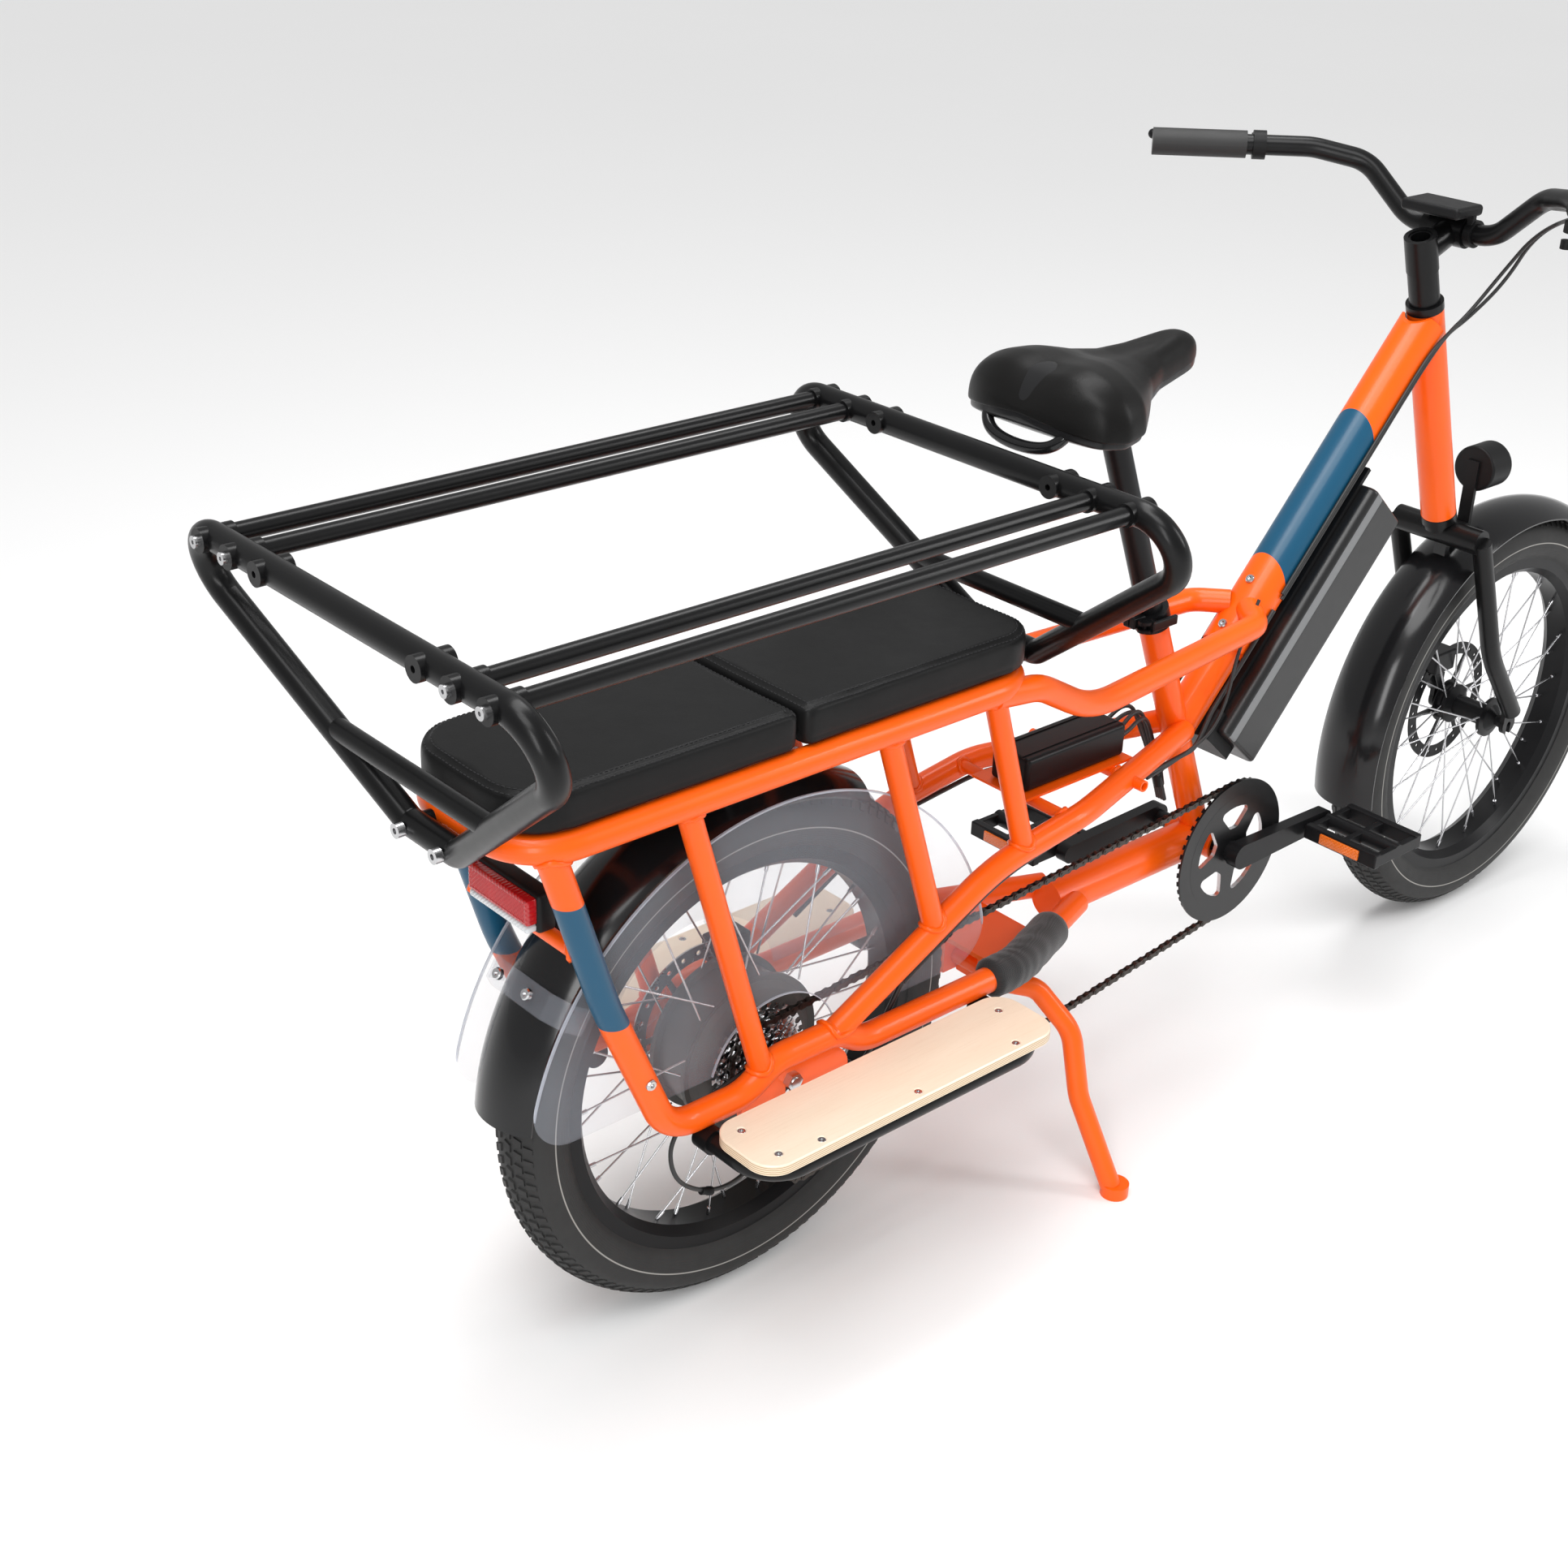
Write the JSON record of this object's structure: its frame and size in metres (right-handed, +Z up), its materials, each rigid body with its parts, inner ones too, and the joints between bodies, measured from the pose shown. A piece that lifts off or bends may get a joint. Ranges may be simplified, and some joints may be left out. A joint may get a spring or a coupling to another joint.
{
  "type": "long-tail electric cargo bicycle",
  "caption": "Long-tail electric cargo bicycle with a padded passenger deck, a tube rail around it, running boards, a centre stand and a rear hub motor.",
  "frame": {"origin": "centre of the bounding box, on the floor", "axes": "+X forward, +Y to the rider's left, +Z up"},
  "size_m": [2.169, 0.7466, 1.1248],
  "materials": {
    "orange_paint": "satin orange powder coat, with blue bands in the visual model",
    "black_paint": "satin black powder coat",
    "black_alloy": "black anodised",
    "steel": "bright machined steel",
    "dark_steel": "dark oiled steel",
    "rubber": "matte black rubber",
    "grip_rubber": "soft matte black",
    "vinyl": "black stitched upholstery",
    "saddle_skin": "smooth black saddle cover",
    "neoprene": "black knitted wrap",
    "birch": "clear-coated birch plywood",
    "black_plastic": "matte moulded plastic",
    "gloss_black": "gloss black mudguard",
    "clear": "clear flexible sheet",
    "red_lens": "ribbed red lens",
    "motor_shell": "dark satin cast shell"
  },
  "bodies": {
    "frame": {"seat_tube": "orange_paint", "main_tube": "orange_paint", "deck_loop": "orange_paint", "rear_stays": "orange_paint", "side_stays": "orange_paint", "frame_braces": "orange_paint", "lower_yoke": "orange_paint", "rear_hoop": "black_paint", "front_hoop": "black_paint", "side_rails": "black_paint", "rail_bolts": "steel", "deck_pads": "vinyl", "board_frames": "black_paint", "running_boards": "birch", "rear_axle": "steel", "chain": "dark_steel", "derailleur_body": "black_alloy", "derailleur_cage": "black_alloy", "rear_fender": "gloss_black", "wheel_skirts": "clear", "skirt_brackets": "clear", "taillight": "red_lens", "controller_box": "black_alloy", "battery_cradle": "black_plastic", "kickstand_sleeve": "neoprene", "seat_collar": "black_alloy", "rear_caliper": "black_alloy", "frame_cables": "grip_rubber"},
    "battery": {"battery_pack": "black_plastic"},
    "seat": {"seat_post": "black_alloy", "saddle": "saddle_skin"},
    "clamp_lever": {"seat_lever": "black_alloy"},
    "stand": {"kickstand": "orange_paint"},
    "rear_wheel": {"rear_tyre": "rubber", "rear_rim": "black_alloy", "rear_spokes": "steel", "hub_motor": "motor_shell", "rear_rotor": "steel"},
    "sprockets": {"cassette": "dark_steel"},
    "guide_wheel": {"guide_pulley": "black_plastic"},
    "tension_wheel": {"tension_pulley": "black_plastic"},
    "crankset": {"cranks": "black_alloy", "chainring": "black_alloy"},
    "pedal_left": {"left_pedal": "black_alloy"},
    "pedal_right": {"right_pedal": "black_alloy"},
    "steering": {"fork": "black_paint", "handlebar": "black_alloy", "grips": "grip_rubber", "front_fender": "gloss_black", "headlight": "black_plastic", "front_caliper": "black_alloy", "bar_controls": "black_plastic"},
    "front_wheel": {"front_tyre": "rubber", "front_rim": "black_alloy", "front_spokes": "steel", "front_hub": "black_alloy"},
    "brake_left": {"left_brake_lever": "black_alloy"},
    "brake_right": {"right_brake_lever": "black_alloy"},
    "shifter": {"shift_lever": "black_plastic"},
    "twist_grip": {"throttle": "grip_rubber"}
  },
  "joints": [
    {"name": "battery_slide", "type": "slide", "parent": "frame", "child": "battery", "axis": [0.6704, 0, 0.742], "range_m": [0, 0.06]},
    {"name": "seat_height", "type": "slide", "parent": "frame", "child": "seat", "axis": [-0.3891, 0, 0.9212], "range_m": [-0.11, 0.1]},
    {"name": "clamp_lever_swing", "type": "hinge", "parent": "frame", "child": "clamp_lever", "pos_m": [-0.01797, -0.0185, 0.642], "axis": [0, 0, -1], "range_deg": [0, 145]},
    {"name": "stand_swing", "type": "hinge", "parent": "frame", "child": "stand", "pos_m": [-0.2455, 0, 0.258], "axis": [0, 1, 0], "range_deg": [0, 75]},
    {"name": "rear_wheel_spin", "type": "hinge", "parent": "frame", "child": "rear_wheel", "pos_m": [-0.6205, 0, 0.302], "axis": [0, 1, 0], "continuous": true},
    {"name": "sprocket_spin", "type": "hinge", "parent": "frame", "child": "sprockets", "pos_m": [-0.6205, 0, 0.302], "axis": [0, 1, 0], "continuous": true},
    {"name": "guide_spin", "type": "hinge", "parent": "frame", "child": "guide_wheel", "pos_m": [-0.6065, -0.05, 0.224], "axis": [0, 1, 0], "continuous": true},
    {"name": "tension_spin", "type": "hinge", "parent": "frame", "child": "tension_wheel", "pos_m": [-0.5585, -0.05, 0.142], "axis": [0, 1, 0], "continuous": true},
    {"name": "crank_spin", "type": "hinge", "parent": "frame", "child": "crankset", "pos_m": [0.1595, 0, 0.3], "axis": [0, 1, 0], "continuous": true},
    {"name": "left_pedal_spin", "type": "hinge", "parent": "crankset", "child": "pedal_left", "pos_m": [-0.0105, 0.145, 0.3], "axis": [0, 1, 0], "continuous": true},
    {"name": "right_pedal_spin", "type": "hinge", "parent": "crankset", "child": "pedal_right", "pos_m": [0.3295, -0.145, 0.3], "axis": [0, 1, 0], "continuous": true},
    {"name": "steering_turn", "type": "hinge", "parent": "frame", "child": "steering", "pos_m": [0.54313, 0, 0.8], "axis": [-0.3584, 0, 0.9336], "range_deg": [-40, 40]},
    {"name": "front_wheel_spin", "type": "hinge", "parent": "steering", "child": "front_wheel", "pos_m": [0.7825, 0, 0.302], "axis": [0, 1, 0], "continuous": true},
    {"name": "left_brake_pull", "type": "hinge", "parent": "steering", "child": "brake_left", "pos_m": [0.44687, 0.25641, 1.10666], "axis": [-0.0132, 0.0148, 0.9998], "range_deg": [0, 10], "stiffness_Nm_per_rad": 2, "springref_deg": -11.46},
    {"name": "right_brake_pull", "type": "hinge", "parent": "steering", "child": "brake_right", "pos_m": [0.44687, -0.25641, 1.10666], "axis": [0.0132, 0.0148, -0.9998], "range_deg": [0, 10], "stiffness_Nm_per_rad": 2, "springref_deg": -11.46},
    {"name": "shift_push", "type": "hinge", "parent": "steering", "child": "shifter", "pos_m": [0.44299, -0.21272, 1.08], "axis": [0, 0, -1], "range_deg": [0, 25], "stiffness_Nm_per_rad": 0.5, "springref_deg": -17.19},
    {"name": "throttle_twist", "type": "hinge", "parent": "steering", "child": "twist_grip", "pos_m": [0.33376, -0.335, 1.104], "axis": [-0.6661, -0.7456, -0.0199], "range_deg": [0, 60], "stiffness_Nm_per_rad": 0.3, "springref_deg": -22.92}
  ],
  "couplings": [
    {"joint": "sprocket_spin", "follows": "crank_spin", "ratio": 2},
    {"joint": "guide_spin", "follows": "crank_spin", "ratio": -4.1818},
    {"joint": "tension_spin", "follows": "crank_spin", "ratio": 4.1818}
  ]
}
